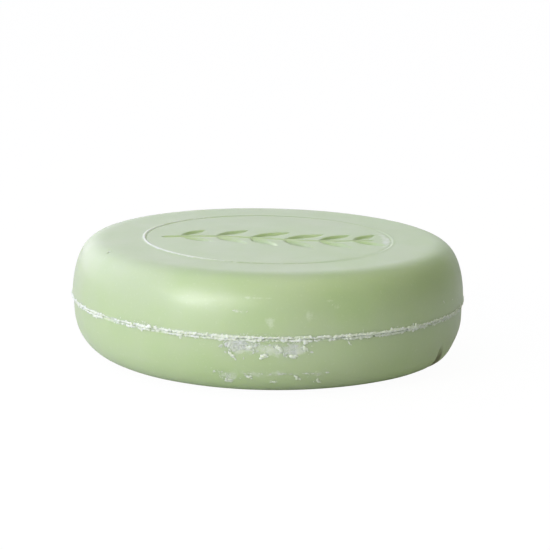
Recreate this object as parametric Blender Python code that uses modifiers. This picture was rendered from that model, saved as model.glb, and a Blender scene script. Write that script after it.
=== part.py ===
"""A pressed shaving soap puck: the pressed body, the flash left along its parting line, and the
dried crumbs that cling to its side.

Metres, +Z up. The puck stands on Z = 0 with its axis on Z, and its front faces -Y. Angles are in
degrees from the front, positive towards +X.
"""

import math
import random
from collections import namedtuple

import bmesh
import bpy
from mathutils import Matrix, Vector

MM = 0.001

# Driving dimensions of the pressed body.
PUCK_RADIUS = 38.0 * MM
UPPER_HEIGHT = 11.2 * MM
LOWER_HEIGHT = 11.8 * MM
PARTING_HEIGHT = LOWER_HEIGHT
TOTAL_HEIGHT = LOWER_HEIGHT + UPPER_HEIGHT

# Each half bulges from its flat face out to the parting line as a superellipse. The lower die
# was a little smaller than the upper one, so the upper half overhangs it.
Half = namedtuple("Half", "height flat_radius full_radius radial_power axial_power")
UPPER = Half(UPPER_HEIGHT, 0.80 * PUCK_RADIUS, PUCK_RADIUS, 3.36, 2.06)
LOWER = Half(LOWER_HEIGHT, 0.694 * PUCK_RADIUS, 0.992 * PUCK_RADIUS, 2.26, 2.75)
BULGE_STEPS = 11
TURN_STEPS = 96
SMOOTH_BELOW = math.radians(35)

# Witness groove where the two dies met, and the shallow ring pressed into the top.
WITNESS_HEIGHT = 1.2 * MM
WITNESS_RADIUS = PUCK_RADIUS - 0.9 * MM
RING_RADIUS = 24.05 * MM
RING_WIDTH = 0.9 * MM
RING_DEPTH = 0.35 * MM

# Leaf sprig pressed into the top, inside the ring.
SPRIG_DEPTH = 0.5 * MM
STEM_LENGTH = 40.0 * MM
STALK_WIDTH = 1.0 * MM
TIP_WIDTH = 0.4 * MM
STEM_SWAY = 1.3 * MM
STEM_STEPS = 24
LEAF_PAIRS = 6
LEAF_LENGTH = 8.6 * MM
END_LEAF_SHARE = 0.72
LEAF_SLENDERNESS = 3.2
LEAF_GAP = 0.5 * MM
LEAF_ANGLE = math.radians(44)
LEAF_STEPS = 7

# V-shaped nick knocked out of the lower right edge.
NICK_ANGLE = 62.0
NICK_HEIGHT = 4.0 * MM
NICK_DEPTH = 0.8 * MM
NICK_SIDE = 2.0 * MM
NICK_LENGTH = 5.0 * MM
NICK_LEAN = math.radians(8)

# Pieces that lie on or in the body keep this gap to it.
CLEARANCE = 0.3 * MM

# Flash: a thin ragged bead in the witness groove, broken into lengths.
FLASH_RADIUS = 0.5 * WITNESS_HEIGHT - CLEARANCE
FLASH_RING_RADIUS = WITNESS_RADIUS + CLEARANCE + FLASH_RADIUS
FLASH_SPREAD = 0.3 * MM
FLASH_STEP = 3.0
FLASH_GAP = 1.2
FLASH_THINNEST = 0.7
FLASH_SIDES_RESOLUTION = 1
FLASH_LENGTHS = (
    ("flash_front", -20.0, 18.0),
    ("flash_front_right", 18.0, 41.0),
    ("flash_right", 41.0, 100.0),
    ("flash_rear_right", 100.0, 176.0),
    ("flash_rear_left", 176.0, 254.0),
    ("flash_left", 254.0, 304.0),
    ("flash_front_left", 304.0, 340.0),
)

# Crumbs: rows of dried flakes. A row's crumbs are a fixed angle apart and step up and down.
CrumbRow = namedtuple("CrumbRow", "name count first_angle angle_step height zigzag length")
CRUMB_ROWS = (
    CrumbRow("crumb_under_flash", 6, -9.0, 4.0, 9.4 * MM, 0.8 * MM, 2.0 * MM),
    CrumbRow("crumb_low_front", 5, -11.5, 6.8, 4.0 * MM, 0.5 * MM, 1.7 * MM),
    CrumbRow("crumb_beside_flash", 1, 24.0, 0.0, 10.5 * MM, 0.0, 1.2 * MM),
    CrumbRow("crumb_low_right", 1, 45.5, 0.0, 5.0 * MM, 0.0, 0.9 * MM),
    CrumbRow("crumb_high_right", 1, 61.0, 0.0, 15.0 * MM, 0.0, 0.9 * MM),
    CrumbRow("crumb_left_shoulder", 1, -64.0, 0.0, 22.2 * MM, 0.0, 1.1 * MM),
)
CRUMB_ANGLE_JITTER = 0.5
CRUMB_LENGTH_JITTER = 0.2
CRUMB_TURN = math.radians(60)
CRUMB_WIDTH_SHARE = 0.6
CRUMB_THICKNESS_SHARE = 0.3
CRUMB_ROUGHNESS = 0.22
CRUMB_SUBDIVISIONS = 2

SOAP_COLOUR = (0.47, 0.60, 0.33, 1.0)
DRY_SOAP_COLOUR = (0.66, 0.75, 0.58, 1.0)
SEED = 7


def clear_scene():
    for obj in list(bpy.data.objects):
        bpy.data.objects.remove(obj)


def add_collection(name):
    collection = bpy.data.collections.new(name)
    bpy.context.scene.collection.children.link(collection)
    return collection


def soap_material(name, colour, roughness):
    material = bpy.data.materials.new(name)
    material.use_nodes = True
    shader = material.node_tree.nodes["Principled BSDF"]
    shader.inputs["Base Color"].default_value = colour
    shader.inputs["Roughness"].default_value = roughness
    shader.inputs["Metallic"].default_value = 0.0
    material.diffuse_color = colour
    return material


def add_object(name, data, collection, material=None):
    obj = bpy.data.objects.new(name, data)
    collection.objects.link(obj)
    if material:
        data.materials.append(material)
    return obj


def smooth(mesh):
    mesh.shade_smooth()
    mesh.set_sharp_from_angle(angle=SMOOTH_BELOW)


def around(angle, radius, height):
    """The point at this angle from the front, distance from the axis and height."""
    turn = math.radians(angle)
    return Vector((radius * math.sin(turn), -radius * math.cos(turn), height))


def side_radius(height):
    """Radius of the side at this height, leaving out the witness groove."""
    half = UPPER if height >= PARTING_HEIGHT else LOWER
    rise = abs(height - PARTING_HEIGHT) / half.height
    bulge = (1 - rise**half.axial_power) ** (1 / half.radial_power)
    return half.flat_radius + (half.full_radius - half.flat_radius) * bulge


def side_frame(angle, height):
    """The side's point there, and the outward normal with the directions along and up the side."""
    step = 0.01 * MM
    point = around(angle, side_radius(height), height)
    up = around(angle, side_radius(height + step), height + step) - point
    up.normalize()
    along = Vector((math.cos(math.radians(angle)), math.sin(math.radians(angle)), 0))
    return point, along.cross(up), along, up


def bulge_rises(half):
    """Distances from the parting plane, from the groove's lip to the flat face."""
    lip = 0.5 * WITNESS_HEIGHT
    turns = [0.5 * math.pi * step / BULGE_STEPS for step in range(1, BULGE_STEPS + 1)]
    rises = [half.height * math.sin(turn) ** (2 / half.axial_power) for turn in turns]
    return [lip] + [rise for rise in rises if rise > 2 * lip]


def body_profile():
    """(radius, height) from the top's centre down the outer side to the base's centre."""
    top = [
        (0, TOTAL_HEIGHT),
        (RING_RADIUS - 0.5 * RING_WIDTH, TOTAL_HEIGHT),
        (RING_RADIUS, TOTAL_HEIGHT - RING_DEPTH),
        (RING_RADIUS + 0.5 * RING_WIDTH, TOTAL_HEIGHT),
    ]
    above = [PARTING_HEIGHT + rise for rise in bulge_rises(UPPER)]
    below = [PARTING_HEIGHT - drop for drop in bulge_rises(LOWER)]
    upper_side = [(side_radius(height), height) for height in reversed(above)]
    lower_side = [(side_radius(height), height) for height in below]
    groove = [(WITNESS_RADIUS, above[0]), (WITNESS_RADIUS, below[0])]
    return top + upper_side + groove + lower_side + [(0, 0)]


def add_body(parts, cutters):
    mesh = bpy.data.meshes.new("soap_body")
    points = [(radius, 0, height) for radius, height in body_profile()]
    mesh.from_pydata(points, [(i, i + 1) for i in range(len(points) - 1)], [])
    body = add_object("soap_body", mesh, parts, soap_material("pressed_soap", SOAP_COLOUR, 0.38))
    turn = body.modifiers.new("turn", "SCREW")
    turn.steps = turn.render_steps = TURN_STEPS
    turn.use_merge_vertices = True
    turn.merge_threshold = 0.01 * MM
    turn.use_smooth_shade = True
    for cutter in (add_sprig_cutter(cutters), add_nick_cutter(cutters)):
        cut = body.modifiers.new(cutter.name, "BOOLEAN")
        cut.operation = "DIFFERENCE"
        cut.object = cutter
    return body


def hide_cutter(cutter):
    cutter.hide_render = True
    cutter.display_type = "WIRE"
    return cutter


def add_outline(curve, points):
    """A closed outline on a 2D curve."""
    spline = curve.splines.new("POLY")
    spline.points.add(len(points) - 1)
    for spot, (x, y) in zip(spline.points, points):
        spot.co = (x, y, 0, 1)
    spline.use_cyclic_u = True


def stem_point(share):
    """Centre of the stem and its direction, share running from 0 at the stalk to 1 at the tip."""
    phase = 2 * math.pi * share
    centre = Vector(((share - 0.5) * STEM_LENGTH, STEM_SWAY * math.sin(phase)))
    slope = STEM_SWAY * 2 * math.pi * math.cos(phase) / STEM_LENGTH
    return centre, Vector((1, slope)).normalized()


def stem_width(share):
    return STALK_WIDTH + (TIP_WIDTH - STALK_WIDTH) * share


def stem_outline():
    upper, lower = [], []
    for step in range(STEM_STEPS + 1):
        share = step / STEM_STEPS
        centre, along = stem_point(share)
        side = Vector((-along.y, along.x)) * 0.5 * stem_width(share)
        upper.append(centre + side)
        lower.append(centre - side)
    return upper + lower[::-1]


def leaf_outline(foot, along, length):
    """A leaf pointed at both ends, from its foot along a direction."""
    side = Vector((-along.y, along.x))
    half_width = 0.5 * length / LEAF_SLENDERNESS
    shares = [step / LEAF_STEPS for step in range(LEAF_STEPS + 1)]
    upper = [foot + along * length * s + side * half_width * math.sin(math.pi * s) for s in shares]
    lower = [foot + along * length * s - side * half_width * math.sin(math.pi * s) for s in shares]
    return upper + lower[-2:0:-1]


def sprig_outlines():
    """The stem, then its pairs of leaves, which are longest halfway along."""
    yield stem_outline()
    for pair in range(LEAF_PAIRS):
        share = (pair + 0.5) / LEAF_PAIRS
        centre, along = stem_point(share)
        length = LEAF_LENGTH * (END_LEAF_SHARE + (1 - END_LEAF_SHARE) * math.sin(math.pi * share))
        for side in (-1, 1):
            across = Vector((-along.y, along.x)) * side
            foot = centre + across * (0.5 * stem_width(share) + LEAF_GAP)
            leaf_along = along * math.cos(LEAF_ANGLE) + across * math.sin(LEAF_ANGLE)
            yield leaf_outline(foot, leaf_along, length)


def add_sprig_cutter(cutters):
    curve = bpy.data.curves.new("sprig_outline", "CURVE")
    curve.dimensions = "2D"
    curve.fill_mode = "BOTH"
    curve.extrude = SPRIG_DEPTH
    for outline in sprig_outlines():
        add_outline(curve, outline)
    guide = add_object("sprig_outline", curve, cutters)
    guide.location.z = TOTAL_HEIGHT
    bpy.context.view_layer.update()
    evaluated = guide.evaluated_get(bpy.context.evaluated_depsgraph_get())
    mesh = bpy.data.meshes.new_from_object(evaluated)
    weld(mesh)
    cutter = hide_cutter(add_object("sprig_cutter", mesh, cutters))
    cutter.matrix_world = guide.matrix_world
    bpy.data.objects.remove(guide)
    return cutter


def weld(mesh):
    work = bmesh.new()
    work.from_mesh(mesh)
    bmesh.ops.remove_doubles(work, verts=work.verts, dist=0.001 * MM)
    bmesh.ops.recalc_face_normals(work, faces=work.faces)
    work.to_mesh(mesh)
    work.free()


def add_nick_cutter(cutters):
    """A square bar standing up the side with one edge inwards, leaning out at the top."""
    work = bmesh.new()
    size = Matrix.Diagonal((NICK_SIDE, NICK_SIDE, NICK_LENGTH, 1))
    bmesh.ops.create_cube(work, size=1, matrix=Matrix.Rotation(math.pi / 4, 4, "Z") @ size)
    mesh = bpy.data.meshes.new("nick_cutter")
    work.to_mesh(mesh)
    work.free()
    cutter = hide_cutter(add_object("nick_cutter", mesh, cutters))
    point, outward, along, up = side_frame(NICK_ANGLE, NICK_HEIGHT)
    reach = NICK_SIDE / math.sqrt(2) - NICK_DEPTH
    axes = Matrix((along, -outward, up)).transposed().to_4x4()
    lean = Matrix.Rotation(NICK_LEAN, 4, "X")
    cutter.matrix_world = Matrix.Translation(point + outward * reach) @ axes @ lean
    return cutter


def add_flash(name, first, last, parts, rng):
    """One length of flash: a bead that wanders in and out of the groove and varies in thickness."""
    curve = bpy.data.curves.new(name, "CURVE")
    curve.dimensions = "3D"
    curve.bevel_depth = FLASH_RADIUS
    curve.bevel_resolution = FLASH_SIDES_RESOLUTION
    curve.use_fill_caps = True
    steps = round((last - first) / FLASH_STEP)
    spline = curve.splines.new("POLY")
    spline.points.add(steps)
    for step, point in enumerate(spline.points):
        angle = first + 0.5 * FLASH_GAP + (last - first - FLASH_GAP) * step / steps
        radius = FLASH_RING_RADIUS + rng.uniform(0, FLASH_SPREAD)
        point.co = (*around(angle, radius, PARTING_HEIGHT), 1)
        point.radius = rng.uniform(FLASH_THINNEST, 1)
    material = soap_material(name, DRY_SOAP_COLOUR, 0.6)
    return add_object(name, curve, parts, material)


def crumb_mesh(name, length, rng):
    """An uneven flat flake: length along X, thickness along Y, width along Z."""
    size = Vector((length, length * CRUMB_THICKNESS_SHARE, length * CRUMB_WIDTH_SHARE))
    work = bmesh.new()
    bmesh.ops.create_icosphere(work, subdivisions=CRUMB_SUBDIVISIONS, radius=0.5)
    for vert in work.verts:
        vert.co *= 1 - rng.uniform(0, CRUMB_ROUGHNESS)
        vert.co = Vector(axis * share for axis, share in zip(size, vert.co))
    mesh = bpy.data.meshes.new(name)
    work.to_mesh(mesh)
    work.free()
    smooth(mesh)
    return mesh


def add_crumb(name, angle, height, length, parts, rng):
    """A crumb lying flat against the side, turned at random about the side's normal."""
    mesh = crumb_mesh(name, length, rng)
    crumb = add_object(name, mesh, parts, soap_material(name, DRY_SOAP_COLOUR, 0.65))
    point, outward, along, up = side_frame(angle, height)
    lift = CLEARANCE + 0.5 * length * CRUMB_THICKNESS_SHARE
    axes = Matrix((along, -outward, up)).transposed().to_4x4()
    turn = Matrix.Rotation(rng.uniform(-CRUMB_TURN, CRUMB_TURN), 4, "Y")
    crumb.matrix_world = Matrix.Translation(point + outward * lift) @ axes @ turn
    return crumb


def add_crumbs(parts, rng):
    for row in CRUMB_ROWS:
        for place in range(row.count):
            name = f"{row.name}_{place + 1}" if row.count > 1 else row.name
            angle = row.first_angle + place * row.angle_step
            angle += rng.uniform(-CRUMB_ANGLE_JITTER, CRUMB_ANGLE_JITTER)
            height = row.height + row.zigzag * (1 if place % 2 else -1)
            length = row.length * (1 - rng.uniform(0, CRUMB_LENGTH_JITTER))
            add_crumb(name, angle, height, length, parts, rng)


def main():
    clear_scene()
    rng = random.Random(SEED)
    parts = add_collection("shaving_soap_puck")
    cutters = add_collection("cutters")
    cutters.hide_render = True
    add_body(parts, cutters)
    for name, first, last in FLASH_LENGTHS:
        add_flash(name, first, last, parts, rng)
    add_crumbs(parts, rng)


main()
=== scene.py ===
"""The looks of a pressed shaving soap puck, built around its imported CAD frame.

Metres, +Z up. The puck stands on Z = 0, its axis is Z and its front faces -Y. Angles are in
degrees from the front, positive towards +X.
"""

import math
import random

import bmesh
import bpy
import numpy as np
from mathutils import Matrix, Vector, noise


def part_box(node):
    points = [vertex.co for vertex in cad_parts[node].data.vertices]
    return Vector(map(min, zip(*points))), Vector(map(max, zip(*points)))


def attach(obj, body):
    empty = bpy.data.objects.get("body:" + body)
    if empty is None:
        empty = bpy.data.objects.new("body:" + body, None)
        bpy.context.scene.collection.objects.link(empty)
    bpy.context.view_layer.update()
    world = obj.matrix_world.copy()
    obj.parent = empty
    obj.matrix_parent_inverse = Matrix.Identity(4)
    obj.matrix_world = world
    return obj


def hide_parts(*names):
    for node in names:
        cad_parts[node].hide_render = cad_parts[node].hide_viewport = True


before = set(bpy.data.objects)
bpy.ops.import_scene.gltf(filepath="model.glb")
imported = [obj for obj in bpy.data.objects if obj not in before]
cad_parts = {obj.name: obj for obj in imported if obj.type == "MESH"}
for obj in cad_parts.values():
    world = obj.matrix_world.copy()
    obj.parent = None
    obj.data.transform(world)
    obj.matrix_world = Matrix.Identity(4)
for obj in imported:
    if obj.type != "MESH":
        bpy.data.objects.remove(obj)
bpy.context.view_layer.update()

MM = 0.001
NODES = sorted(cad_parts)
FLASH_NODES = [name for name in NODES if name.startswith("flash_")]
CRUMB_NODES = [name for name in NODES if name.startswith("crumb_")]

# Sizes read from the frame.
BODY_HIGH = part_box("soap_body")[1]
PUCK_RADIUS = BODY_HIGH.x
TOP_HEIGHT = BODY_HIGH.z
PARTING_HEIGHT = sum(corner.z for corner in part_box("flash_front")) / 2

# Each half's side is a superellipse from its flat face to the parting line.
UPPER_FLAT = 0.80 * PUCK_RADIUS
UPPER_FULL = PUCK_RADIUS
UPPER_POWERS = (3.36, 2.06)
LOWER_FLAT = 0.694 * PUCK_RADIUS
LOWER_FULL = 0.992 * PUCK_RADIUS
LOWER_POWERS = (2.26, 2.75)

# Body mesh: a square grid bent into a disc carries the sprig, and rings of points the rest.
PROFILE_STEPS = 400
DISC_CELLS = 168
SEGMENTS = 4 * DISC_CELLS
DISC_RADIUS = 23.2 * MM
RING_ZONE_RADIUS = 24.9 * MM
RING_ZONE_STEP = 0.12 * MM
SIDE_STEP = 0.62 * MM
LAND_STEP = 1.0 * MM
BASE_ROWS = 7

# Pressed ring on the top, with a lip round its outside that rises to its high at one angle.
RING_RADIUS = 23.75 * MM
RING_DEPTH = 0.05 * MM
RING_HALF_WIDTH = 0.24 * MM
RING_LIP_LOW = 0.05 * MM
RING_LIP_HIGH = 0.26 * MM
RING_LIP_ANGLE = -62.0
RING_LIP_HALF_ANGLE = 60.0
RING_LIP_AWAY = 0.40 * MM
RING_LIP_WIDTH = 0.24 * MM

# Witness groove at the parting line, with a fine lip above and below.
SEAM_ZONE = 1.2 * MM
SEAM_STEPS = 11
SEAM_CROWDING = 1.2
SEAM_DEPTH = 0.13 * MM
SEAM_HALF_HEIGHT = 0.36 * MM
SEAM_LIP = 0.08 * MM
SEAM_LIP_AWAY = 0.50 * MM
SEAM_LIP_WIDTH = 0.10 * MM

# Leaf sprig, as in the CAD body.
SPRIG_DEPTH = 0.5 * MM
STEM_LENGTH = 40.0 * MM
STALK_WIDTH = 1.0 * MM
TIP_WIDTH = 0.4 * MM
STEM_SWAY = 1.3 * MM
STEM_STEPS = 240
LEAF_PAIRS = 6
LEAF_LENGTH = 8.6 * MM
END_LEAF_SHARE = 0.72
LEAF_SLENDERNESS = 3.2
LEAF_GAP = 0.5 * MM
LEAF_ANGLE = math.radians(44)
SPRIG_EDGE = 0.55 * MM
RIB_HEIGHT = 0.24 * MM
RIB_WIDTH = 0.32 * MM
RIB_HALF_RUN = 0.38

# The side isn't quite true: slow waves all over, fuller places low down and on the right, and a
# faint crease along the front shoulder. A place is (angle, height, half angle, half height, size).
SIDE_STARTS = 0.86 * LOWER_FLAT
WAVE_SIZE = 0.07 * MM
WAVE_LENGTH = 11 * MM
BULGES = (
    (66.0, 2.5 * MM, 14.0, 2.5 * MM, 1.05 * MM),
    (50.0, 2.2 * MM, 9.0, 2.4 * MM, 0.45 * MM),
    (88.0, 6.8 * MM, 16.0, 3.2 * MM, 0.24 * MM),
    (40.0, 1.8 * MM, 14.0, 1.8 * MM, 0.24 * MM),
    (-12.0, 0.9 * MM, 30.0, 1.4 * MM, 0.25 * MM),
)
CREASE_ANGLES = (-34.0, 34.0)
CREASE_HEIGHT = 18.9 * MM
CREASE_HALF_WIDTH = 0.35 * MM
CREASE_SIZE = 0.035 * MM

# Nick where the lower half was caught by an edge: a V that runs up the side from near the base,
# narrowing as it goes. Painted shade darkens it, and a strip beside it turned a little away. The
# mesh's lengthwise lines crowd towards it, from a depth below the parting plane down.
NICK_ANGLE = 62.6
NICK_LEAN = 0.5
NICK_FOOT = 1.2 * MM
NICK_TOP = 6.4 * MM
NICK_DEPTH = 1.25 * MM
NICK_HALF_WIDTHS = (1.6 * MM, 0.5 * MM)
NICK_SHADE_SHIFT = 1.2
NICK_FADE = 1.5
NICK_STARTS = 0.9 * LOWER_FLAT
NICK_CROWD = 0.7
NICK_CROWD_ANGLE = 6.0
NICK_CROWD_DEPTH = 4 * SEAM_ZONE

# White bloom on the side, and painted highlight: (angle, height, half angle, half height, strength).
BLOOMS_AND_HIGHLIGHTS = (
    (0.0, 9.9 * MM, 12.0, 1.8 * MM, 0.50),
    (-7.5, 10.5 * MM, 4.5, 1.5 * MM, 0.80),
    (8.0, 9.7 * MM, 3.6, 1.6 * MM, 0.74),
    (-10.8, 4.2 * MM, 3.4, 1.3 * MM, 0.54),
    (14.8, 4.8 * MM, 4.0, 1.1 * MM, 0.42),
    (1.0, 5.2 * MM, 13.0, 1.0 * MM, 0.38),
    (0.4, 14.6 * MM, 3.2, 2.2 * MM, 0.36),
    (12.0, 15.9 * MM, 2.8, 1.8 * MM, 0.38),
    (-8.0, 16.7 * MM, 2.2, 0.5 * MM, 0.50),
    # Painted highlight: a streak along the shoulder's crease.
    (-3.0, 19.2 * MM, 9.0, 0.35 * MM, 0.42),
    (9.0, 18.9 * MM, 4.0, 0.35 * MM, 0.38),
    (17.5, 18.5 * MM, 2.0, 0.5 * MM, 0.44),
    (19.8, 17.4 * MM, 1.4, 0.9 * MM, 0.42),
    (147.0, 15.5 * MM, 4.0, 1.5 * MM, 0.50),
    (-131.0, 7.5 * MM, 6.0, 1.8 * MM, 0.50),
    (-168.0, 16.0 * MM, 3.0, 1.2 * MM, 0.44),
)

# A painted highlight along the ring's lip, strongest on the left, whose half widths are at the sides
# and at the front and rear; white bloom in a crescent inside the ring at the right, and along the seam.
RING_HIGHLIGHT = 0.95
RING_HIGHLIGHT_AWAY = 0.36 * MM
RING_HIGHLIGHT_HALF_WIDTHS = (0.30 * MM, 0.75 * MM)
RING_HIGHLIGHT_ANGLE = -75.0
RING_HIGHLIGHT_HALF_ANGLE = 72.0
CRESCENT_BLOOM = 0.60
CRESCENT_ANGLE = 92.0
CRESCENT_HALF_ANGLE = 21.0
CRESCENT_RADIUS = 22.8 * MM
CRESCENT_HALF_WIDTH = 1.1 * MM
SEAM_BLOOM = 0.66
SEAM_BLOOM_REACH = 0.55 * MM

# Flash: two ragged lines of lumps, above and below the parting plane, with crusts between them
# and a few chips beside them. A lump's size is (smallest, largest, usual), and it is sunk into the
# side by a share of its size. A line is broken where its noise is under its level in FLASH_BREAKS.
FLASH_STEP = 0.22
FLASH_LINE_RISE = 0.34 * MM
FLASH_WANDER = 0.22 * MM
FLASH_JITTER = 0.07 * MM
FLASH_PROUD = 0.03 * MM
FLASH_GRAIN = (0.09 * MM, 0.28 * MM, 0.13 * MM)
FLASH_SINK = (-0.4, 0.2)
FLASH_OVERLAP = 0.9
FLASH_WANDER_RATE = 0.4
FLASH_BREAK_RATE = 0.9
FLASH_BREAKS = (-0.28, -0.06)
CRUST_CHANCE = 0.42
CHIP_CHANCE = 0.05
NOISE_TRACK_GAP = 7.3

# A swell is the flash's extra size at an angle. It comes from slow noise and from the places
# listed, as (angle, half angle, extra size). It fills the gaps, and it draws the two lines
# together, enlarges their lumps and stands them out by these shares of itself.
FLASH_PATCH = 0.45 * MM
FLASH_PATCH_RATE = 0.5
FLASH_PATCH_LEVEL = 0.05
SWELL_FILL = 2.2 / MM
SWELL_CHIPS = 0.5 / MM
SWELL_DRAW = 0.2
LINE_GROWTH = 0.3
LINE_LIFT = 0.22
CRUST_GROWTH = 0.4
CRUST_LIFT = 0.12
CRUST_DROP = 0.3
FLASH_SWELLS = (
    (-59.0, 1.8, 0.36 * MM),
    (-42.5, 1.0, 0.26 * MM),
    (-37.5, 1.6, 0.26 * MM),
    (-25.5, 1.4, 0.20 * MM),
    (-20.5, 1.4, 0.20 * MM),
    (-12.0, 3.4, 0.28 * MM),
    (-4.0, 2.0, 0.14 * MM),
    (9.5, 2.5, 0.22 * MM),
    (24.0, 1.1, 0.30 * MM),
    (29.0, 2.0, 0.20 * MM),
    (37.0, 4.0, 0.18 * MM),
    (46.0, 3.0, 0.24 * MM),
    (55.0, 3.0, 0.16 * MM),
    (72.0, 6.0, 0.14 * MM),
    (104.0, 4.0, 0.20 * MM),
    (141.0, 7.0, 0.22 * MM),
    (171.0, 3.0, 0.26 * MM),
    (-152.0, 5.0, 0.20 * MM),
    (-118.0, 6.0, 0.24 * MM),
    (-88.0, 3.0, 0.20 * MM),
)

# One stretch is a single thin line: its middle, its half angle and how much its lumps shrink.
THIN_ANGLE = -51.0
THIN_HALF_ANGLE = 4.6
THIN_SHRINK = 0.4

# Loose dust on the side: (piece, angle, height, half angle, half height, flakes, half length).
DUST = (
    ("dust_under_flash", -8.0, 10.4 * MM, 5.0, 1.0 * MM, 60, 0.62 * MM),
    ("dust_under_flash", -7.0, 9.8 * MM, 6.0, 1.3 * MM, 40, 0.36 * MM),
    ("dust_under_flash", 7.5, 9.8 * MM, 5.0, 1.3 * MM, 50, 0.42 * MM),
    ("dust_under_flash", 0.0, 10.5 * MM, 9.0, 0.6 * MM, 34, 0.34 * MM),
    ("dust_low_front", -11.2, 3.1 * MM, 1.1, 0.35 * MM, 14, 0.90 * MM),
    ("dust_low_front", -14.0, 4.9 * MM, 2.6, 0.6 * MM, 10, 0.42 * MM),
    ("dust_low_front", -11.0, 4.0 * MM, 3.5, 0.9 * MM, 20, 0.30 * MM),
    ("dust_low_front", 14.5, 4.6 * MM, 3.5, 0.6 * MM, 16, 0.32 * MM),
    ("dust_low_front", 5.0, 4.95 * MM, 13.0, 0.14 * MM, 22, 0.42 * MM),
    ("dust_over_flash", -38.0, 12.7 * MM, 5.0, 0.3 * MM, 14, 0.20 * MM),
    ("dust_over_flash", -2.0, 12.7 * MM, 12.0, 0.3 * MM, 18, 0.18 * MM),
    ("dust_over_flash", 38.0, 12.7 * MM, 14.0, 0.3 * MM, 18, 0.18 * MM),
    ("dust_shoulder", 19.5, 17.7 * MM, 3.0, 0.8 * MM, 9, 0.20 * MM),
    ("dust_shoulder", -8.0, 16.7 * MM, 2.0, 0.3 * MM, 7, 0.30 * MM),
    ("dust_right", 70.0, 14.3 * MM, 5.0, 0.8 * MM, 5, 0.26 * MM),
    ("dust_right", 43.0, 5.4 * MM, 4.0, 0.7 * MM, 6, 0.22 * MM),
    ("dust_rear", 150.0, 10.4 * MM, 16.0, 1.2 * MM, 26, 0.30 * MM),
    ("dust_rear", -128.0, 10.2 * MM, 12.0, 1.4 * MM, 22, 0.30 * MM),
    ("dust_rear", -104.0, 12.8 * MM, 10.0, 0.4 * MM, 9, 0.22 * MM),
)

# Crumbs: a chip with smaller chips stuck round it, out to a share of the frame crumb's size.
CRUMB_REACH = 0.95
CRUMB_CHIPS = 10
CRUMB_LEANS = (-70, 20)

# Lumps: how fine they are fused, and how much and how closely they are wrinkled.
VOXEL = 0.085 * MM
WRINKLE = 0.05 * MM
CRUMB_WRINKLE = 2 * WRINKLE
DUST_WRINKLE = 0.02 * MM
WRINKLE_LENGTH = 0.35 * MM
SLOPE_STEP = 0.1 * MM

# Finishes. A subsurface is its weight, how far each colour goes, and the scale of that.
SOAP_GREENS = ((0.485, 0.635, 0.305, 1), (0.515, 0.640, 0.350, 1))
# Pale soap: the flecks and the bloom, and also the colour of the painted highlights.
SOAP_CHALK_AND_HIGHLIGHT = (0.83, 0.89, 0.76, 1)
# Painted shade: the dark olive laid in the nick.
SOAP_NICK_SHADE = (0.15, 0.145, 0.065, 1)
SOAP_ROUGHNESS = (0.44, 0.54)
SOAP_SPECULAR = 0.9
SOAP_COAT = 0.35
SOAP_COAT_ROUGHNESS = 0.26
SOAP_SUBSURFACE = (0.6, (1.0, 1.0, 0.6), 1.5 * MM)
SOAP_CLOUD_SIZE = 14 * MM
SOAP_CLOUD_RANGE = (0.35, 0.65)
SOAP_FLECK_SIZE = 0.5 * MM
SOAP_FLECK_RANGE = (0.60, 0.78)
SOAP_FLECK_MOST = 0.16
SOAP_WEAR_SIZE = 5 * MM
SOAP_PORE_SIZE = 0.35 * MM
SOAP_PORE_DEPTH = 0.012 * MM

# Bloom and painted highlights: their strength plus ragged noise, over a range, gives how far they
# cover the soap. They add to the roughness and to the pores too.
BLOOM_AND_HIGHLIGHT_GRAIN = 1.6 * MM
BLOOM_AND_HIGHLIGHT_DETAIL = (5, 0.68)
BLOOM_AND_HIGHLIGHT_RANGE = (0.80, 1.15)
BLOOM_AND_HIGHLIGHT_MOST = 0.78
BLOOM_ROUGHNESS = 0.4
BLOOM_PORES = 1.5
# Painted shade in the nick: the depth shares over which it darkens, and how dark it gets at most.
NICK_SHADE_RANGE = (0.02, 0.5)
NICK_SHADE_MOST = 0.84

# Crumbs and flash are green with white patches; the white share moves the patches' range.
CRUMB_WHITE = (0.92, 0.97, 0.86, 1)
CRUMB_GREEN = (0.72, 0.81, 0.61, 1)
FLASH_WHITE_SHARE = 0.12
CRUMB_WHITE_SHARE = 0.05
CRUMB_PATCH_SIZE = 0.6 * MM
CRUMB_PATCH_RANGE = (0.5, 0.85)
CRUMB_ROUGH_SIZE = 0.2 * MM
CRUMB_ROUGHNESS = (0.62, 0.88)
CRUMB_GRAIN_SIZE = 0.09 * MM
CRUMB_GRAIN_DEPTH = 0.03 * MM
CRUMB_SUBSURFACE = (0.4, (1.0, 1.0, 0.7), 0.3 * MM)

# Range in which most of a noise texture's values lie.
NOISE_MIDDLE = (0.3, 0.7)

# Camera, measured from the middle of the parting plane.
CAMERA_ELEVATION = math.radians(12.27)
CAMERA_ROLL = math.radians(1.14)
CAMERA_DISTANCE = 14.3 * PUCK_RADIUS
CAMERA_LENS = 182.4
AIM_RIGHT = 1.40 * MM
AIM_UP = 3.88 * MM

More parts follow.
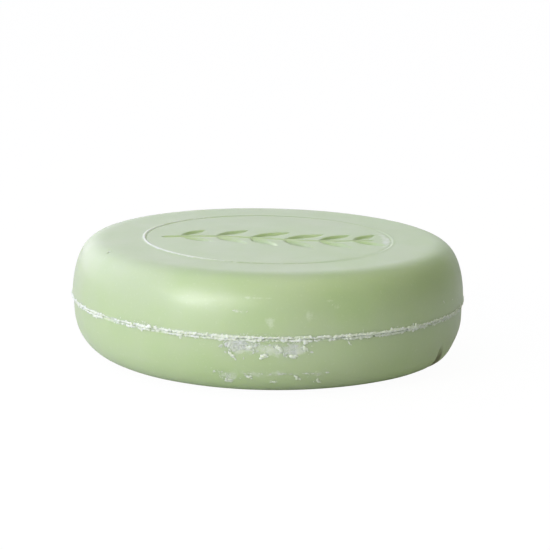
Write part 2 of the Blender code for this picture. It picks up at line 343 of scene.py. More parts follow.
# Light: glows are (azimuth, elevation, colour), softboxes (azimuth, elevation, width, height, watts,
# colour). The floor's glow share is how much of it the camera sees as plain white.
GLOW_POWER = 6
GLOWS = (
    (35, 76, (1.16, 1.17, 0.84)),
    (180, 5, (0.46, 0.53, 0.56)),
    (-150, 5, (1.40, 1.24, 1.40)),
    (-120, 22, (0.86, 0.72, 1.06)),
    (-90, 40, (0.70, 0.68, 0.88)),
    (-135, 40, (0.02, 0.10, 0.40)),
    (-60, 5, (0.00, 0.05, 0.50)),
    (150, 5, (0.34, 0.33, 0.32)),
)
SOFTBOX_DISTANCE = 0.6
SOFTBOXES = (
    (-44, 16, 0.19, 0.08, 0.74, (1.0, 0.96, 1.04)),
    (-32, 24, 0.46, 0.18, 1.46, (1.0, 0.99, 0.98)),
)
FLOOR_SIZE = 6.0
FLOOR_DROP = 0.05 * MM
FLOOR_WHITE = 0.77
FLOOR_ROUGHNESS = 0.9
FLOOR_GLOW = 1.03
FLOOR_GLOW_SHARE = 0.94

SEED = 11


def smoothstep(low, high, value):
    """0 at low and 1 at high, easing at both ends."""
    share = np.clip((value - low) / (high - low), 0, 1)
    return share * share * (3 - 2 * share)


def bell(value, width):
    """1 at 0, falling to 1 / e at the width."""
    return np.exp(-np.square(value / width))


# ---------------------------------------------------------------- body: the turned shape


def superellipse(flat, full, height, powers):
    """(radius, distance from the parting plane) from the parting plane to the flat face."""
    turn = np.linspace(0, math.pi / 2, PROFILE_STEPS)
    radius = flat + (full - flat) * np.cos(turn) ** (2 / powers[0])
    rise = height * np.sin(turn) ** (2 / powers[1])
    return np.stack([radius, rise], axis=1)


def resample(points, step):
    """Points along the same line, a fixed distance apart."""
    lengths = np.hypot(*np.diff(points, axis=0).T)
    along = np.concatenate([[0], np.cumsum(lengths)])
    count = max(2, round(along[-1] / step) + 1)
    wanted = np.linspace(0, along[-1], count)
    return np.stack([np.interp(wanted, along, points[:, axis]) for axis in (0, 1)], axis=1)


def side_rows(flat, full, height, powers):
    """A half's rows outside the seam zone, from the seam zone to the flat face."""
    curve = superellipse(flat, full, height, powers)
    return resample(curve[curve[:, 1] >= SEAM_ZONE], SIDE_STEP)


def seam_rows(flat, full, height, powers):
    """A half's rows inside the seam zone, from the parting plane outwards."""
    curve = superellipse(flat, full, height, powers)
    rise = SEAM_ZONE * np.linspace(0, 1, SEAM_STEPS + 1) ** SEAM_CROWDING
    rise = rise[1:-1]
    return np.stack([np.interp(rise, curve[:, 1], curve[:, 0]), rise], axis=1)


def ring_profile(radius, angles):
    """Height of the pressed ring and its lip above the top face; the lip is tallest front left."""
    away = radius - RING_RADIUS
    share = bell(turned_by(angles, RING_LIP_ANGLE), RING_LIP_HALF_ANGLE)
    height = RING_LIP_LOW + (RING_LIP_HIGH - RING_LIP_LOW) * share
    lip = height * bell(away - RING_LIP_AWAY, RING_LIP_WIDTH)
    return lip - RING_DEPTH * bell(away, RING_HALF_WIDTH)


def seam_profile(rise):
    """How far the seam's flat-bottomed groove and its lips stand out from the side."""
    away = np.abs(rise)
    lips = SEAM_LIP * bell(away - SEAM_LIP_AWAY, SEAM_LIP_WIDTH)
    return lips - SEAM_DEPTH * np.exp(-((away / SEAM_HALF_HEIGHT) ** 4))


def meridian():
    """(radius, height) of every ring of points, from the top's disc round to the base's centre."""
    upper = (UPPER_FLAT, UPPER_FULL, TOP_HEIGHT - PARTING_HEIGHT, UPPER_POWERS)
    lower = (LOWER_FLAT, LOWER_FULL, PARTING_HEIGHT, LOWER_POWERS)
    ring_zone = np.arange(DISC_RADIUS + RING_ZONE_STEP, RING_ZONE_RADIUS, RING_ZONE_STEP)
    land = np.arange(RING_ZONE_RADIUS, UPPER_FLAT, LAND_STEP)
    flat = np.concatenate([ring_zone, land])
    top = np.stack([flat, np.full(len(flat), TOP_HEIGHT)], axis=1)
    above = np.concatenate([seam_rows(*upper), side_rows(*upper)])[::-1]
    below = np.concatenate([seam_rows(*lower), side_rows(*lower)])
    above[:, 1] = PARTING_HEIGHT + above[:, 1]
    below[:, 1] = PARTING_HEIGHT - below[:, 1]
    middle = [[(UPPER_FULL + LOWER_FULL) / 2, PARTING_HEIGHT]]
    base = np.stack([np.linspace(LOWER_FLAT, 0, BASE_ROWS + 1)[1:-1], np.zeros(BASE_ROWS - 1)], 1)
    return np.concatenate([top, above, middle, below, base])


# ---------------------------------------------------------------- body: the pressed sprig


def stem_line(share):
    """Points on the stem's centre line and its directions there."""
    phase = 2 * math.pi * share
    centre = np.stack([(share - 0.5) * STEM_LENGTH, STEM_SWAY * np.sin(phase)], axis=-1)
    slope = STEM_SWAY * 2 * math.pi * np.cos(phase) / STEM_LENGTH
    along = np.stack([np.ones_like(slope), slope], axis=-1)
    return centre, along / np.linalg.norm(along, axis=-1, keepdims=True)


def stem_width(share):
    """The stem's width, tapering from stalk to tip."""
    return STALK_WIDTH + (TIP_WIDTH - STALK_WIDTH) * share


def stem_distance(spots):
    """Distance of each spot from the stem's edge, negative inside it."""
    shares = np.linspace(0, 1, STEM_STEPS + 1)
    centre, _ = stem_line(shares)
    away = np.linalg.norm(spots[:, None] - centre[None], axis=-1)
    return (away - stem_width(shares)[None] / 2).min(axis=1)


def leaf_distances(spots, foot, along, length):
    """Distance of each spot from a leaf's edge, negative inside it, and from its middle rib."""
    across = np.array([-along[1], along[0]])
    run = (spots - foot) @ along
    share = np.clip(run / length, 0, 1)
    beyond = np.maximum(0, np.abs(run - length / 2) - length / 2)
    off = np.abs((spots - foot) @ across)
    half_width = length / LEAF_SLENDERNESS / 2 * np.sin(math.pi * share)
    edge = np.where(beyond > 0, np.hypot(beyond, off), off - half_width)
    rib = np.hypot(off, np.maximum(0, np.abs(share - 0.5) - RIB_HALF_RUN) * length)
    return edge, rib


def leaves():
    """(foot, direction, length) of each leaf."""
    for pair in range(LEAF_PAIRS):
        share = (pair + 0.5) / LEAF_PAIRS
        centre, along = stem_line(np.array(share))
        length = LEAF_LENGTH * (END_LEAF_SHARE + (1 - END_LEAF_SHARE) * math.sin(math.pi * share))
        for side in (-1, 1):
            across = np.array([-along[1], along[0]]) * side
            foot = centre + across * (stem_width(share) / 2 + LEAF_GAP)
            yield foot, along * math.cos(LEAF_ANGLE) + across * math.sin(LEAF_ANGLE), length


def sprig_height(spots):
    """Height of the top face at each spot inside the ring: 0, or below it in the sprig."""
    depth = smoothstep(SPRIG_EDGE / 2, -SPRIG_EDGE / 2, stem_distance(spots))
    for foot, along, length in leaves():
        edge, rib = leaf_distances(spots, foot, along, length)
        leaf = smoothstep(SPRIG_EDGE / 2, -SPRIG_EDGE / 2, edge)
        raised = RIB_HEIGHT / SPRIG_DEPTH * bell(rib, RIB_WIDTH)
        depth = np.maximum(depth, leaf * (1 - raised))
    return -SPRIG_DEPTH * depth


# ---------------------------------------------------------------- body: the mesh


def disc_points():
    """A square grid bent into a disc: each square of cells becomes a ring of equal steps."""
    line = np.linspace(-1, 1, DISC_CELLS + 1)
    across, up = np.meshgrid(line, line, indexing="ij")
    wide = np.abs(across) > np.abs(up)
    reach = np.where(wide, across, up)
    other = np.where(wide, up, across)
    ratio = np.divide(other, reach, out=np.zeros_like(reach), where=reach != 0)
    turn = np.where(wide, math.pi / 4 * ratio, math.pi / 2 - math.pi / 4 * ratio)
    return np.stack([reach * np.cos(turn), reach * np.sin(turn)], -1).reshape(-1, 2) * DISC_RADIUS


def disc_quads():
    """Corner indices of the bent grid's cells."""
    index = np.arange((DISC_CELLS + 1) ** 2).reshape(DISC_CELLS + 1, DISC_CELLS + 1)
    corners = [index[:-1, :-1], index[1:, :-1], index[1:, 1:], index[:-1, 1:]]
    return np.stack(corners, axis=-1).reshape(-1, 4)


def disc_rim(points):
    """The disc's outermost points in order of angle from the front."""
    index = np.arange(len(points)).reshape(DISC_CELLS + 1, DISC_CELLS + 1)
    rim = np.unique(np.concatenate([index[0], index[-1], index[:, 0], index[:, -1]]))
    angles = np.arctan2(points[rim, 0], -points[rim, 1])
    order = np.argsort(angles)
    return rim[order], angles[order]


def body_arrays():
    """Points and quads of the smooth turned body, the sprig's disc first."""
    disc = disc_points()
    rim, angles = disc_rim(disc)
    rows = meridian()
    lift = np.full(len(disc), TOP_HEIGHT) + sprig_height(disc)
    disc_xyz = np.column_stack([disc, lift])
    radius, height = rows[:, 0, None], rows[:, 1, None]
    angles = crowd_towards_nick(angles, height)
    turned = [radius * np.sin(angles), -radius * np.cos(angles), height + 0 * angles]
    ring_xyz = np.stack(turned, axis=-1).reshape(-1, 3)
    centre = np.array([[0, 0, 0]])
    points = np.concatenate([disc_xyz, ring_xyz, centre])
    first = len(disc)
    rings = np.concatenate([rim[None], first + np.arange(len(rows) * SEGMENTS).reshape(-1, SEGMENTS)])
    after = np.roll(rings, -1, axis=1)
    sides = np.stack([rings[:-1], rings[1:], after[1:], after[:-1]], axis=-1).reshape(-1, 4)
    fan = np.stack([rings[-1], np.full(SEGMENTS, len(points) - 1), after[-1]], axis=-1)
    return points, np.concatenate([disc_quads(), sides]).tolist() + fan.tolist()


def angles_of(points):
    """Each point's angle from the front, in degrees."""
    return np.degrees(np.arctan2(points[:, 0], -points[:, 1]))


def turned_by(angles, centre):
    """Signed degrees from the centre angle to each angle, the short way round."""
    return (angles - centre + 180) % 360 - 180


def spot_field(points, angle, height, half_angle, half_height):
    """1 at a place on the side, fading over its half angle and half height."""
    across = bell(turned_by(angles_of(points), angle), half_angle)
    return across * bell(points[:, 2] - height, half_height)


def crowd_towards_nick(angles, heights):
    """The lower half's lengthwise lines drawn in towards the nick, to shape it finely."""
    share = smoothstep(PARTING_HEIGHT - SEAM_ZONE, PARTING_HEIGHT - NICK_CROWD_DEPTH, heights)
    away = np.degrees(angles) - NICK_ANGLE
    pull = NICK_CROWD * away * bell(away, NICK_CROWD_ANGLE)
    return angles - np.radians(pull) * share


def nick_depth(points, shift=0.0):
    """How deep the nick is at each point; shift turns it away from the front."""
    along = np.clip((points[:, 2] - NICK_FOOT) / (NICK_TOP - NICK_FOOT), -1, 1)
    middle = NICK_ANGLE + NICK_LEAN * along + shift
    across = np.radians(turned_by(angles_of(points), middle)) * LOWER_FULL
    half_width = np.interp(along, (0, 1), NICK_HALF_WIDTHS)
    wedge = np.clip(1 - np.abs(across) / half_width, 0, 1)
    run = np.where(along > 0, 1 - np.abs(along) ** NICK_FADE, 1)
    return NICK_DEPTH * wedge * run


def waves(points):
    """Slow noise at each point."""
    return np.array([noise.noise(Vector(point) / WAVE_LENGTH) for point in points])


def reshape_side(points):
    """Gives the true turned side its waves, bulges, crease and nick."""
    radius = np.hypot(points[:, 0], points[:, 1])
    on_side = smoothstep(SIDE_STARTS, LOWER_FLAT, radius)
    outward = WAVE_SIZE * waves(points) * on_side
    for *place, size in BULGES:
        outward += size * spot_field(points, *place) * on_side
    angles = angles_of(points)
    along = smoothstep(CREASE_ANGLES[0], 0, angles) * smoothstep(CREASE_ANGLES[1], 0, angles)
    outward += CREASE_SIZE * along * bell(points[:, 2] - CREASE_HEIGHT, CREASE_HALF_WIDTH)
    outward -= np.where(radius > NICK_STARTS, nick_depth(points), 0)
    points[:, :2] *= (1 + outward / np.maximum(radius, MM))[:, None]


def ring_highlight(angles, radius):
    """Painted highlight along the ring's lip, strongest on the left."""
    side_width, front_width = RING_HIGHLIGHT_HALF_WIDTHS
    width = side_width + (front_width - side_width) * np.cos(np.radians(angles)) ** 2
    strength = RING_HIGHLIGHT * bell(turned_by(angles, RING_HIGHLIGHT_ANGLE), RING_HIGHLIGHT_HALF_ANGLE)
    return strength * bell(radius - RING_RADIUS - RING_HIGHLIGHT_AWAY, width)


def crescent_bloom(angles, radius):
    """Bloom in the crescent inside the ring."""
    strength = CRESCENT_BLOOM * bell(turned_by(angles, CRESCENT_ANGLE), CRESCENT_HALF_ANGLE)
    return strength * bell(radius - CRESCENT_RADIUS, CRESCENT_HALF_WIDTH)


def bloom_and_highlight_at(points):
    """Bloom and painted highlight at each point, as a strength before the material breaks them up."""
    bloom_and_highlight = np.zeros(len(points))
    for *place, strength in BLOOMS_AND_HIGHLIGHTS:
        bloom_and_highlight = np.maximum(bloom_and_highlight, strength * spot_field(points, *place))
    angles = angles_of(points)
    radius = np.hypot(points[:, 0], points[:, 1])
    rise = points[:, 2] - PARTING_HEIGHT
    seam = SEAM_BLOOM * bell(rise, SEAM_BLOOM_REACH) * (radius > UPPER_FLAT)
    on_top = points[:, 2] > TOP_HEIGHT - MM
    # Painted highlight along the ring's lip.
    ring = ring_highlight(angles, radius) * on_top
    crescent = crescent_bloom(angles, radius) * on_top
    return np.maximum.reduce([bloom_and_highlight, seam, ring, crescent])


def lay_seam_and_ring(points):
    """Presses the ring into the top and the groove into the side."""
    radius = np.hypot(points[:, 0], points[:, 1])
    on_top = points[:, 2] > TOP_HEIGHT - SPRIG_DEPTH - MM
    on_land = on_top & (radius < UPPER_FLAT)
    points[:, 2] += np.where(on_land, ring_profile(radius, angles_of(points)), 0)
    rise = points[:, 2] - PARTING_HEIGHT
    outward = np.where(radius > LOWER_FLAT, seam_profile(rise), 0)
    points[:, :2] *= (1 + outward / np.maximum(radius, MM))[:, None]


def add_body():
    """The billet, whitened where bloomed and by painted highlights, and with painted shade in the nick, as
    attributes that its material reads.
    """
    points, faces = body_arrays()
    bloom_and_highlight = bloom_and_highlight_at(points)
    # Painted shade for the nick: its depth, and the same depth turned a little away.
    nick_shade = np.maximum(nick_depth(points), nick_depth(points, NICK_SHADE_SHIFT)) / NICK_DEPTH
    lay_seam_and_ring(points)
    reshape_side(points)
    mesh = bpy.data.meshes.new("soap_billet")
    mesh.from_pydata(points.tolist(), [], faces)
    mesh.attributes.new("bloom_and_highlight", "FLOAT", "POINT").data.foreach_set("value", bloom_and_highlight)
    mesh.attributes.new("nick_shade", "FLOAT", "POINT").data.foreach_set("value", nick_shade)
    mesh.shade_smooth()
    mesh.update()
    body = bpy.data.objects.new("soap_billet", mesh)
    bpy.context.scene.collection.objects.link(body)
    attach(body, "root")
    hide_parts("soap_body")
    return body


# ---------------------------------------------------------------- flash, crumbs and dust


def side_curve():
    """(height, radius) of the true turned side, from the base up to the top."""
    upper = superellipse(UPPER_FLAT, UPPER_FULL, TOP_HEIGHT - PARTING_HEIGHT, UPPER_POWERS)
    lower = superellipse(LOWER_FLAT, LOWER_FULL, PARTING_HEIGHT, LOWER_POWERS)
    below = np.stack([PARTING_HEIGHT - lower[::-1, 1], lower[::-1, 0]], axis=1)
    above = np.stack([PARTING_HEIGHT + upper[:, 1], upper[:, 0]], axis=1)
    return np.concatenate([below, above])


SIDE = side_curve()


def side_radius(height):
    """Radius of the true turned side at this height."""
    return float(np.interp(height, SIDE[:, 0], SIDE[:, 1]))


def lump(angle, height, proud, sizes, spin=0.0):
    """Centre and half axes of a lump on the side; spin turns its length up from level."""
    radius = side_radius(height)
    slope = (side_radius(height + SLOPE_STEP) - side_radius(height - SLOPE_STEP)) / (2 * SLOPE_STEP)
    turn = math.radians(angle)
    level = Vector((math.cos(turn), math.sin(turn), 0))
    away = Vector((math.sin(turn), -math.cos(turn), 0))
    outward = (away - Vector((0, 0, slope))).normalized()
    upward = outward.cross(level)
    lean = math.radians(spin)
    length = math.cos(lean) * level + math.sin(lean) * upward
    breadth = math.cos(lean) * upward - math.sin(lean) * level
    centre = away * radius + Vector((0, 0, height)) + outward * proud
    return centre, (length * sizes[0], breadth * sizes[1], outward * sizes[2])


def ball():
    """Points and faces of a unit ball."""
    form = bmesh.new()
    bmesh.ops.create_icosphere(form, subdivisions=2, radius=1)
    points = np.array([vert.co[:] for vert in form.verts])
    faces = np.array([[vert.index for vert in face.verts] for face in form.faces])
    form.free()
    return points, faces


def lumps_mesh(name, lumps, wrinkle):
    """One mesh of all the lumps, wrinkled, in millimetres so that a remesh can be fine."""
    unit, faces = ball()
    points = np.concatenate([unit @ np.array(axes) + np.array(centre) for centre, axes in lumps])
    shift = [noise.noise_vector(Vector(point) / WRINKLE_LENGTH)[:] for point in points]
    points = (points + wrinkle * np.array(shift)) / MM
    offsets = len(unit) * np.arange(len(lumps))[:, None, None]
    mesh = bpy.data.meshes.new(name)
    mesh.from_pydata(points.tolist(), [], (faces[None] + offsets).reshape(-1, 3).tolist())
    return mesh


def add_piece(name, mesh, material, replaced=None):
    """Puts a mesh in millimetres into the scene as a piece of the puck."""
    mesh.transform(Matrix.Scale(MM, 4))
    mesh.shade_smooth()
    mesh.materials.clear()
    mesh.materials.append(material)
    piece = bpy.data.objects.new(name, mesh)
    bpy.context.scene.collection.objects.link(piece)
    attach(piece, "root")
    if replaced:
        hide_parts(replaced)
    return piece


def fused(mesh):
    """The mesh's overlapping lumps as one closed crumbly surface."""
    holder = bpy.data.objects.new("holder", mesh)
    bpy.context.scene.collection.objects.link(holder)
    remesh = holder.modifiers.new("fuse", "REMESH")
    remesh.mode = "VOXEL"
    remesh.voxel_size = VOXEL / MM
    graph = bpy.context.evaluated_depsgraph_get()
    result = bpy.data.meshes.new_from_object(holder.evaluated_get(graph))
    bpy.data.objects.remove(holder)
    bpy.data.meshes.remove(mesh)
    return result


def drift(angle, rate, track):
    """Smooth noise along the parting line, a different one for each track."""
    return noise.noise(Vector((angle * rate, NOISE_TRACK_GAP * track, SEED)))


def flash_swell(angle):
    """How much thicker the flash is at this angle than a plain ragged line."""
    swell = FLASH_PATCH * max(0.0, drift(angle, FLASH_PATCH_RATE, 0) - FLASH_PATCH_LEVEL)
    for middle, half_angle, extra in FLASH_SWELLS:
        swell += extra * float(bell(turned_by(angle, middle), half_angle))
    return swell


def line_lump(angle, line, swell, thin, rng):
    """A lump of ragged line 0, above the parting plane, or 1, below it."""
    side = 1 - 2 * line
    wander = FLASH_WANDER * drift(angle, FLASH_WANDER_RATE, 3 + line)
    wander += FLASH_JITTER * rng.uniform(-1, 1) - SWELL_DRAW * side * swell
    size = (1 - THIN_SHRINK * thin) * rng.triangular(*FLASH_GRAIN) + LINE_GROWTH * swell * rng.random()
    proud = FLASH_PROUD + rng.uniform(*FLASH_SINK) * size + LINE_LIFT * swell
    sizes = (size * rng.uniform(0.8, 2.0), size, size * rng.uniform(0.35, 0.7))
    height = PARTING_HEIGHT + side * FLASH_LINE_RISE + wander
    return lump(angle, height, proud, sizes, rng.uniform(-60, 60))


def crust_lump(angle, swell, rng):
    """A lump of the crust between the lines."""
    size = rng.triangular(*FLASH_GRAIN) + CRUST_GROWTH * swell * rng.random()
    rise = rng.uniform(-1, 1) * (FLASH_LINE_RISE + swell) - CRUST_DROP * swell
    proud = rng.uniform(*FLASH_SINK) * size + CRUST_LIFT * swell
    sizes = (size * rng.uniform(0.9, 1.8), size, size * rng.uniform(0.3, 0.6))
    return lump(angle, PARTING_HEIGHT + rise, proud, sizes, rng.uniform(-90, 90))


def chip_lump(angle, rng):
    """A chip just beyond the lines, more often below them than above."""
    size = rng.triangular(*FLASH_GRAIN)
    rise = rng.choice((-1, -1, 1)) * (FLASH_LINE_RISE + rng.uniform(0.7, 1.9) * size)
    sizes = (size * rng.uniform(0.8, 1.4), size * rng.uniform(0.5, 1), 0.4 * size)
    return lump(angle, PARTING_HEIGHT + rise, 0, sizes, rng.uniform(-90, 90))


def flash_lumps(first, last, rng):
    """Lumps of one length of flash. In the thin stretch only the upper line is left."""
    for step in range(round((last - first) / FLASH_STEP)):
        angle = first + step * FLASH_STEP
        swell = flash_swell(angle)
        thin = float(bell(turned_by(angle, THIN_ANGLE), THIN_HALF_ANGLE))
        for line in (0, 1):
            missing = FLASH_BREAKS[line] - SWELL_FILL * swell + thin * line
            if drift(angle, FLASH_BREAK_RATE, 1 + line) >= missing:
                yield line_lump(angle, line, swell, thin, rng)
        if rng.random() < CRUST_CHANCE + SWELL_FILL * swell - thin:
            yield crust_lump(angle, swell, rng)
        if rng.random() < CHIP_CHANCE + SWELL_CHIPS * swell:
            yield chip_lump(angle, rng)


def arc_of(name):
    """First and last angle of a frame node that runs along the parting line."""
    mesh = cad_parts[name].data
    angles = np.sort(angles_of(np.array([vert.co[:] for vert in mesh.vertices])))
    gaps = np.diff(np.append(angles, angles[0] + 360))
    widest = int(np.argmax(gaps))
    first = angles[(widest + 1) % len(angles)]
    return first, first + 360 - gaps[widest]


def add_flash(material):
    """One ragged piece for each length of flash in the frame, a little longer so that they meet."""
    for name in FLASH_NODES:
        first, last = arc_of(name)
        rng = random.Random(f"{SEED} {name}")
        lumps = list(flash_lumps(first - FLASH_OVERLAP, last + FLASH_OVERLAP, rng))
        mesh = fused(lumps_mesh(name, lumps, WRINKLE))
        add_piece("ragged_" + name, mesh, material, name)


def crumb_lumps(name, rng):
    """A chip with smaller chips stuck round it, where the frame has a crumb."""
    low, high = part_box(name)
    middle = (low + high) / 2
    angle = math.degrees(math.atan2(middle.x, -middle.y))
    reach = CRUMB_REACH * (high - low).length / 2
    lean = rng.uniform(*CRUMB_LEANS)
    for chip in range(CRUMB_CHIPS):
        share = 1 - chip / CRUMB_CHIPS
        away = reach * (1 - share) * rng.uniform(0.6, 1.4)
        bearing = math.radians(lean + rng.choice((0, 180)) + rng.uniform(-40, 40))
        size = reach * (0.25 + 0.3 * share) * rng.uniform(0.8, 1.2)
        across = math.degrees(away * math.cos(bearing) / side_radius(middle.z))
        height = middle.z + away * math.sin(bearing)
        sizes = (size, size * rng.uniform(0.45, 0.7), size * rng.uniform(0.25, 0.4))
        yield lump(angle + across, height, 0.2 * sizes[2], sizes, lean + rng.uniform(-30, 30))


def add_crumbs(material):
    """One cluster of chips for each crumb in the frame."""
    for name in CRUMB_NODES:
        lumps = list(crumb_lumps(name, random.Random(f"{SEED} {name}")))
        mesh = fused(lumps_mesh(name, lumps, CRUMB_WRINKLE))
        add_piece(name.replace("crumb", "chips"), mesh, material, name)


def add_dust(material):
    """Scatters flat flakes over each patch; those of a patch lower than a flake lie level."""
    rng = random.Random(SEED)
    patches = {}
    for name, angle, height, half_angle, half_height, flakes, half_length in DUST:
        lumps = patches.setdefault(name, [])
        for _ in range(flakes):
            size = half_length * rng.uniform(0.3, 1) ** 1.6
            place = (angle + rng.gauss(0, 0.5) * half_angle, height + rng.gauss(0, 0.5) * half_height)
            level = half_height < half_length
            spin = rng.uniform(-8, 8) if level else rng.uniform(-90, 90)
            sizes = (size, size * rng.uniform(0.3, 0.6), size * rng.uniform(0.06, 0.14))
            lumps.append(lump(*place, 0.1 * sizes[2], sizes, spin))
    for name, lumps in patches.items():
        add_piece(name, lumps_mesh(name, lumps, DUST_WRINKLE), material)


# ---------------------------------------------------------------- materials


def node(tree, kind, inputs=None, **settings):
    """A new node; an input is a value or the socket of another node."""
    made = tree.nodes.new("ShaderNode" + kind)
    for name, value in settings.items():
        setattr(made, name, value)
    for name, value in (inputs or {}).items():
        if isinstance(value, bpy.types.NodeSocket):
            tree.links.new(value, made.inputs[name])
        else:
            made.inputs[name].default_value = value
    return made


def new_material(name):
    """A material, its node tree and its shader."""
    material = bpy.data.materials.new(name)
    material.use_nodes = True
    tree = material.node_tree
    return material, tree, tree.nodes["Principled BSDF"]


def clouds(tree, place, size, detail=2.0, roughness=0.5):
    """Noise whose features are about this size, in metres."""
    settings = {"Vector": place, "Scale": 1 / size, "Detail": detail, "Roughness": roughness}
    return node(tree, "TexNoise", settings).outputs["Fac"]


def spread(tree, value, low, high, first=0.0, last=1.0):
    """The value's range low to high mapped to first to last, and held beyond it."""
    limits = {"Value": value, "From Min": low, "From Max": high, "To Min": first, "To Max": last}
    return node(tree, "MapRange", limits).outputs["Result"]


def blend_colors(tree, share, first, last):
    """The first colour turning into the last as the share goes from 0 to 1."""
    mix = node(tree, "Mix", data_type="RGBA")
    for socket, value in (("Factor", share), ("A", first), ("B", last)):
        target = next(s for s in mix.inputs if s.name == socket and s.enabled)
        if isinstance(value, bpy.types.NodeSocket):
            tree.links.new(value, target)
        else:
            target.default_value = value
    return next(s for s in mix.outputs if s.enabled)


def combine(tree, first, second, operation="ADD"):
    """The result of arithmetic on two values."""
    made = node(tree, "Math", {0: first, 1: second}, operation=operation)
    return made.outputs[0]


def bump(tree, shader, height, distance):
    """Roughens the surface by this height map, whose full range is this distance."""
    inputs = {"Height": height, "Distance": distance, "Strength": 1.0}
    tree.links.new(node(tree, "Bump", inputs).outputs["Normal"], shader.inputs["Normal"])


def let_light_in(shader, weight, radius, scale):
    """Gives the shader its subsurface scattering."""
    shader.inputs["Subsurface Weight"].default_value = weight
    shader.inputs["Subsurface Radius"].default_value = radius
    shader.inputs["Subsurface Scale"].default_value = scale


def soap_green(tree, place):
    """Slowly clouded green with fine pale flecks."""
    slow = spread(tree, clouds(tree, place, SOAP_CLOUD_SIZE), *SOAP_CLOUD_RANGE)
    green = blend_colors(tree, slow, *SOAP_GREENS)
    flecks = clouds(tree, place, SOAP_FLECK_SIZE, 3)
    fleck = spread(tree, flecks, *SOAP_FLECK_RANGE, 0, SOAP_FLECK_MOST)
    return blend_colors(tree, fleck, green, SOAP_CHALK_AND_HIGHLIGHT)


def soap_material():
    """Smooth pressed soap: clouded green, waxy, whitened where bloomed, with painted highlights on the
    ring's lip and the shoulder, and painted shade in the nick.
    """
    material, tree, shader = new_material("pressed_soap")
    place = node(tree, "TexCoord").outputs["Object"]
    green = soap_green(tree, place)
    # White bloom and the painted highlights on the ring's lip and the shoulder's crease, broken up by
    # noise, turn the green pale.
    bloom_and_highlight = node(tree, "Attribute", attribute_name="bloom_and_highlight").outputs["Fac"]
    ragged = clouds(tree, place, BLOOM_AND_HIGHLIGHT_GRAIN, *BLOOM_AND_HIGHLIGHT_DETAIL)
    pale_and_highlight = spread(tree, combine(tree, bloom_and_highlight, ragged), *BLOOM_AND_HIGHLIGHT_RANGE, 0, BLOOM_AND_HIGHLIGHT_MOST)
    color = blend_colors(tree, pale_and_highlight, green, SOAP_CHALK_AND_HIGHLIGHT)
    # Painted shade: the colour turns darker olive in the nick, darkest where the nick is deepest.
    nick_shade = node(tree, "Attribute", attribute_name="nick_shade").outputs["Fac"]
    color = blend_colors(tree, spread(tree, nick_shade, *NICK_SHADE_RANGE, 0, NICK_SHADE_MOST), color, SOAP_NICK_SHADE)
    tree.links.new(color, shader.inputs["Base Color"])
    worn = spread(tree, clouds(tree, place, SOAP_WEAR_SIZE, 3), *NOISE_MIDDLE, *SOAP_ROUGHNESS)
    rough = combine(tree, worn, combine(tree, pale_and_highlight, BLOOM_ROUGHNESS, "MULTIPLY"))
    tree.links.new(rough, shader.inputs["Roughness"])
    pores = clouds(tree, place, SOAP_PORE_SIZE, 3)
    pores = combine(tree, pores, combine(tree, pale_and_highlight, BLOOM_PORES, "MULTIPLY"))
    bump(tree, shader, pores, SOAP_PORE_DEPTH)
    shader.inputs["Specular IOR Level"].default_value = SOAP_SPECULAR
    shader.inputs["Coat Weight"].default_value = SOAP_COAT
    shader.inputs["Coat Roughness"].default_value = SOAP_COAT_ROUGHNESS
    let_light_in(shader, *SOAP_SUBSURFACE)
    return material


def crumb_material(name, white_share):
    """Dry broken soap, green with white patches that grow with the white share."""
    material, tree, shader = new_material(name)
    place = node(tree, "TexCoord").outputs["Object"]
    low, high = (edge - white_share for edge in CRUMB_PATCH_RANGE)
    patchy = spread(tree, clouds(tree, place, CRUMB_PATCH_SIZE, 3), low, high)
    tree.links.new(blend_colors(tree, patchy, CRUMB_GREEN, CRUMB_WHITE), shader.inputs["Base Color"])
    rough = spread(tree, clouds(tree, place, CRUMB_ROUGH_SIZE, 2), *NOISE_MIDDLE, *CRUMB_ROUGHNESS)
    tree.links.new(rough, shader.inputs["Roughness"])
    bump(tree, shader, clouds(tree, place, CRUMB_GRAIN_SIZE, 3), CRUMB_GRAIN_DEPTH)
    let_light_in(shader, *CRUMB_SUBSURFACE)
    return material


# ---------------------------------------------------------------- camera, floor and lights


def add_camera():
    """Orbits the parting plane's centre, rolled a little, and aims right of it and above it."""
    forward = Vector((0, math.cos(CAMERA_ELEVATION), -math.sin(CAMERA_ELEVATION)))
    level_up = Vector((0, math.sin(CAMERA_ELEVATION), math.cos(CAMERA_ELEVATION)))
    level_right = Vector((1, 0, 0))
    right = math.cos(CAMERA_ROLL) * level_right + math.sin(CAMERA_ROLL) * level_up
    up = math.cos(CAMERA_ROLL) * level_up - math.sin(CAMERA_ROLL) * level_right
    centre = Vector((0, 0, PARTING_HEIGHT))
    place = centre - forward * CAMERA_DISTANCE
    aim = (centre + right * AIM_RIGHT + up * AIM_UP - place).normalized()
    right = aim.cross(up).normalized()
    up = right.cross(aim)
    data = bpy.data.cameras.new("camera")
    data.lens = CAMERA_LENS
    data.clip_start = 10 * MM
    camera = bpy.data.objects.new("camera", data)
    camera.matrix_world = Matrix.Translation(place) @ Matrix((right, up, -aim)).transposed().to_4x4()
    bpy.context.scene.collection.objects.link(camera)
    bpy.context.scene.camera = camera


def direction(azimuth, elevation):
    """The unit direction at this azimuth from the front and this elevation."""
    turn, rise = math.radians(azimuth), math.radians(elevation)
    return Vector((math.sin(turn) * math.cos(rise), -math.cos(turn) * math.cos(rise), math.sin(rise)))


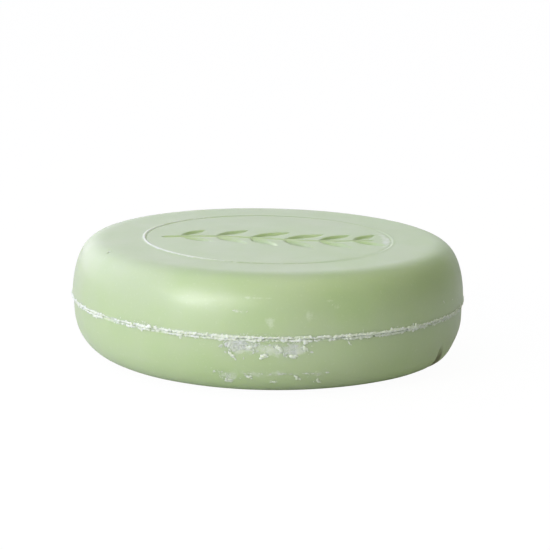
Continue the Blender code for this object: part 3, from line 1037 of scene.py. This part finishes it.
def add_world():
    """Soft light from wide glows round the room; the camera itself sees plain white."""
    world = bpy.data.worlds.new("studio")
    world.use_nodes = True
    tree = world.node_tree
    background = tree.nodes["Background"]
    ray = node(tree, "TexCoord").outputs["Generated"]
    total = (0.0, 0.0, 0.0)
    for azimuth, elevation, color in GLOWS:
        aim = node(tree, "VectorMath", {0: ray, 1: direction(azimuth, elevation)}, operation="DOT_PRODUCT")
        facing = combine(tree, aim.outputs["Value"], 0.0, "MAXIMUM")
        share = combine(tree, facing, GLOW_POWER, "POWER")
        glow = node(tree, "VectorMath", {0: color, "Scale": share}, operation="SCALE").outputs[0]
        total = node(tree, "VectorMath", {0: total, 1: glow}, operation="ADD").outputs[0]
    seen = node(tree, "LightPath").outputs["Is Camera Ray"]
    tree.links.new(blend_colors(tree, seen, total, (1, 1, 1, 1)), background.inputs["Color"])
    bpy.context.scene.world = world


def add_softboxes():
    """Rectangular lamps that face the puck and that the camera can't see."""
    centre = Vector((0, 0, PARTING_HEIGHT))
    for azimuth, elevation, width, height, power, color in SOFTBOXES:
        aim = direction(azimuth, elevation)
        light = bpy.data.lights.new("softbox", "AREA")
        light.shape = "RECTANGLE"
        light.size, light.size_y = width, height
        light.energy = power
        light.color = color
        lamp = bpy.data.objects.new("softbox", light)
        lamp.visible_camera = False
        turn = aim.to_track_quat("Z", "Y").to_matrix().to_4x4()
        lamp.matrix_world = Matrix.Translation(centre + aim * SOFTBOX_DISTANCE) @ turn
        bpy.context.scene.collection.objects.link(lamp)


def add_floor():
    """A white table top: it bounces light like one, and the camera sees it nearly pure white."""
    form = bmesh.new()
    bmesh.ops.create_grid(form, x_segments=1, y_segments=1, size=FLOOR_SIZE / 2)
    mesh = bpy.data.meshes.new("floor")
    form.to_mesh(mesh)
    form.free()
    floor = bpy.data.objects.new("floor", mesh)
    floor.location.z = -FLOOR_DROP
    bpy.context.scene.collection.objects.link(floor)
    material, tree, shader = new_material("white_table")
    shader.inputs["Base Color"].default_value = (FLOOR_WHITE,) * 3 + (1,)
    shader.inputs["Roughness"].default_value = FLOOR_ROUGHNESS
    shader.inputs["Specular IOR Level"].default_value = 0.0
    glow = node(tree, "Emission", {"Color": (1, 1, 1, 1), "Strength": FLOOR_GLOW})
    seen = node(tree, "LightPath").outputs["Is Camera Ray"]
    share = combine(tree, seen, FLOOR_GLOW_SHARE, "MULTIPLY")
    mixed = node(tree, "MixShader", {0: share, 1: shader.outputs[0], 2: glow.outputs[0]})
    tree.links.new(mixed.outputs[0], tree.nodes["Material Output"].inputs["Surface"])
    mesh.materials.append(material)


def main():
    # noise_vector's offsets come from the clock unless they are seeded.
    noise.seed_set(SEED)
    body = add_body()
    body.data.materials.append(soap_material())
    add_flash(crumb_material("flash_soap", FLASH_WHITE_SHARE))
    crumb = crumb_material("dry_soap_crumb", CRUMB_WHITE_SHARE)
    add_crumbs(crumb)
    add_dust(crumb)
    add_camera()
    add_world()
    add_softboxes()
    add_floor()
    bpy.context.scene.view_settings.view_transform = "Standard"


main()
